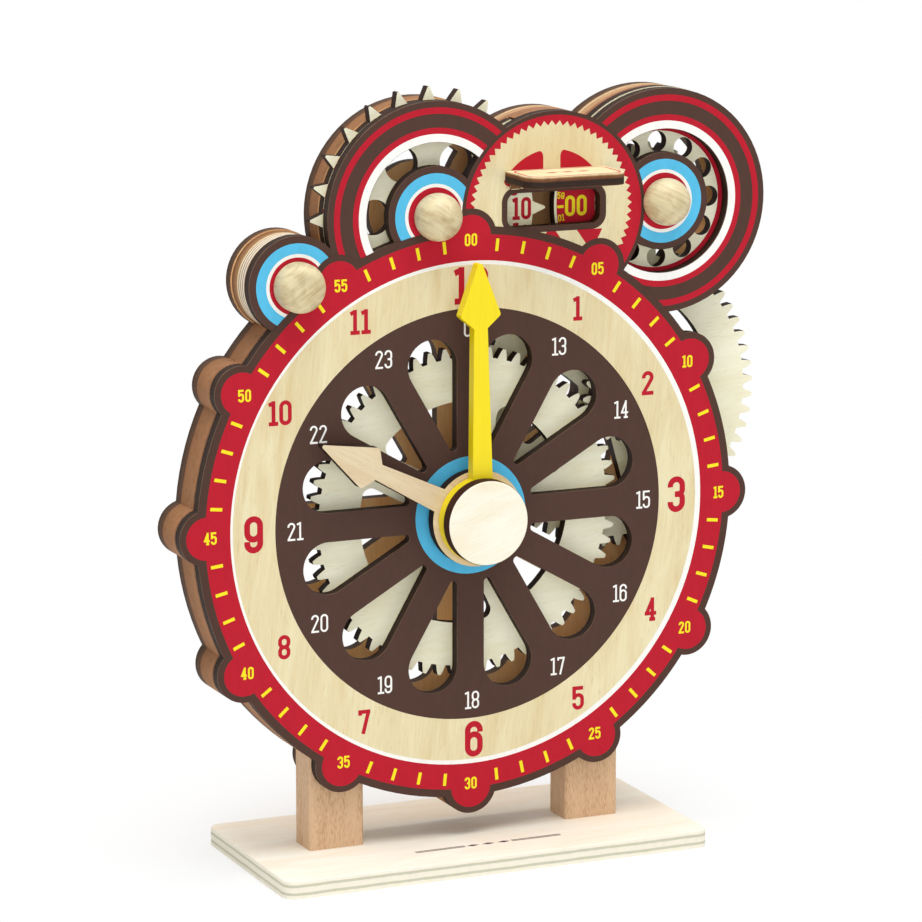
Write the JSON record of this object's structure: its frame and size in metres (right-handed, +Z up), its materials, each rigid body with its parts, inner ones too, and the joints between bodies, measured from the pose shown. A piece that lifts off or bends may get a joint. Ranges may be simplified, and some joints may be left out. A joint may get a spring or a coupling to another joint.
{
  "type": "wooden teaching clock",
  "caption": "Free-standing wooden teaching clock: geared hands over a pierced lobed dial, number wheels behind a flapped window, turning knobs, legs and a flat base.",
  "frame": {"origin": "middle of the underside of the base plate", "axes": "+Z up, the dial faces -Y, +X to the right seen from the front"},
  "size_m": [0.2832, 0.098, 0.3434],
  "materials": {
    "printed_plywood": "matt printed birch plywood with burnt edges",
    "stained_plywood": "laser-cut plywood with browned edges",
    "birch_plywood": "plain sanded birch plywood",
    "beech": "plain sanded beech",
    "turned_hardwood": "turned and waxed",
    "yellow_lacquered_wood": "yellow lacquer",
    "steel": "plain"
  },
  "bodies": {
    "stand_and_case": {"base_plate": "birch_plywood", "leg_left": "beech", "leg_right": "beech", "leg_screws": "steel", "front_plate": "printed_plywood", "rear_plate": "stained_plywood", "ring_spacer_right": "stained_plywood", "ring_spacer_bottom": "stained_plywood", "ring_spacer_left": "stained_plywood", "small_circle_spacer": "birch_plywood", "hour_circle_spacer": "stained_plywood", "minute_circle_spacer": "stained_plywood", "crown_spacer": "stained_plywood", "side_axle": "turned_hardwood", "hinge_rail": "birch_plywood"},
    "minute_wheel_set": {"minute_wheel": "birch_plywood", "minute_arbor": "turned_hardwood", "drive_pinion": "birch_plywood", "carry_pin": "steel", "minute_knob": "turned_hardwood"},
    "side_gear_set": {"side_gear": "birch_plywood", "side_pinion": "birch_plywood", "side_washer": "birch_plywood"},
    "minute_hand_set": {"minute_hand": "yellow_lacquered_wood", "hub_cap": "birch_plywood", "minute_shaft": "turned_hardwood", "minute_pinion": "birch_plywood"},
    "hour_hand_set": {"hour_hand": "birch_plywood", "hub_washer": "birch_plywood", "hour_sleeve": "turned_hardwood", "hour_gear": "birch_plywood"},
    "hour_star_set": {"hour_star": "birch_plywood", "hour_arbor": "turned_hardwood", "star_collar": "birch_plywood", "hour_knob": "turned_hardwood"},
    "small_knob_set": {"small_knob": "turned_hardwood", "small_arbor": "turned_hardwood"},
    "window_flap": {"flap": "birch_plywood", "hinge_pin": "steel"}
  },
  "joints": [
    {"name": "minute_wheel_spin", "type": "hinge", "parent": "stand_and_case", "child": "minute_wheel_set", "pos_m": [0.09321, 0, 0.28846], "axis": [0, 1, 0], "continuous": true},
    {"name": "side_gear_spin", "type": "hinge", "parent": "stand_and_case", "child": "side_gear_set", "pos_m": [0.07771, 0, 0.19981], "axis": [0, 1, 0], "continuous": true},
    {"name": "minute_hand_spin", "type": "hinge", "parent": "stand_and_case", "child": "minute_hand_set", "pos_m": [0, 0, 0.1544], "axis": [0, 1, 0], "continuous": true},
    {"name": "hour_hand_spin", "type": "hinge", "parent": "stand_and_case", "child": "hour_hand_set", "pos_m": [0, 0, 0.1544], "axis": [0, 1, 0], "continuous": true},
    {"name": "hour_star_spin", "type": "hinge", "parent": "stand_and_case", "child": "hour_star_set", "pos_m": [-0.01689, 0, 0.28789], "axis": [0, 1, 0], "continuous": true},
    {"name": "small_knob_spin", "type": "hinge", "parent": "stand_and_case", "child": "small_knob_set", "pos_m": [-0.08132, 0, 0.26115], "axis": [0, 1, 0], "continuous": true},
    {"name": "flap_swing", "type": "hinge", "parent": "stand_and_case", "child": "window_flap", "pos_m": [0.03991, -0.016, 0.29898], "axis": [1, 0, 0], "range_deg": [0, 90]}
  ],
  "couplings": [
    {"joint": "side_gear_spin", "follows": "minute_wheel_spin", "ratio": -0.33333},
    {"joint": "minute_hand_spin", "follows": "minute_wheel_spin", "ratio": 1},
    {"joint": "hour_hand_spin", "follows": "minute_wheel_spin", "ratio": 0.083333},
    {"joint": "hour_star_spin", "follows": "minute_wheel_spin", "ratio": -0.041667}
  ]
}
